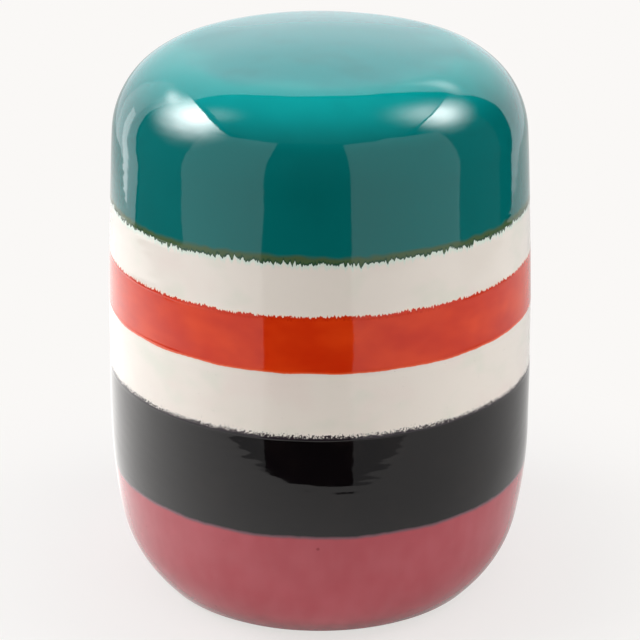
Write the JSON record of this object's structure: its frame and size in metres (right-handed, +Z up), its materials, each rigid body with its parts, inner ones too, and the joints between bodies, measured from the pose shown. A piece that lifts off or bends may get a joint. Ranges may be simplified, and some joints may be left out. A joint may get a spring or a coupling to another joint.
{
  "type": "ceramic garden stool",
  "caption": "Hollow barrel-shaped ceramic garden stool with a softly crowned seat, rounded shoulder, tucked-in foot and level bands of coloured glaze.",
  "frame": {"origin": "on the ground, under the centre of the stool", "axes": "+Z up along the axis it is turned about; the stool is round, and -Y faces the picture's camera"},
  "size_m": [0.348, 0.348, 0.46],
  "materials": {
    "bare_clay": "bare fired stoneware, matt and slightly gritty",
    "teal_glaze": "deep glossy teal glaze, olive where it thins at its edge",
    "white_glaze": "glossy warm white glaze",
    "orange_glaze": "glossy red-orange glaze",
    "black_glaze": "glossy black glaze with a sprayed, speckled upper edge",
    "rose_glaze": "glossy mottled rose glaze",
    "pad_felt": "pressed grey-brown felt"
  },
  "bodies": {
    "root": {"seat_dome": "bare_clay", "drum_wall": "bare_clay", "base_ring": "bare_clay", "teal_glaze": "teal_glaze", "upper_white_glaze": "white_glaze", "orange_glaze": "orange_glaze", "lower_white_glaze": "white_glaze", "black_glaze": "black_glaze", "rose_glaze": "rose_glaze", "floor_pad_1": "pad_felt", "floor_pad_2": "pad_felt", "floor_pad_3": "pad_felt", "floor_pad_4": "pad_felt"}
  },
  "joints": []
}
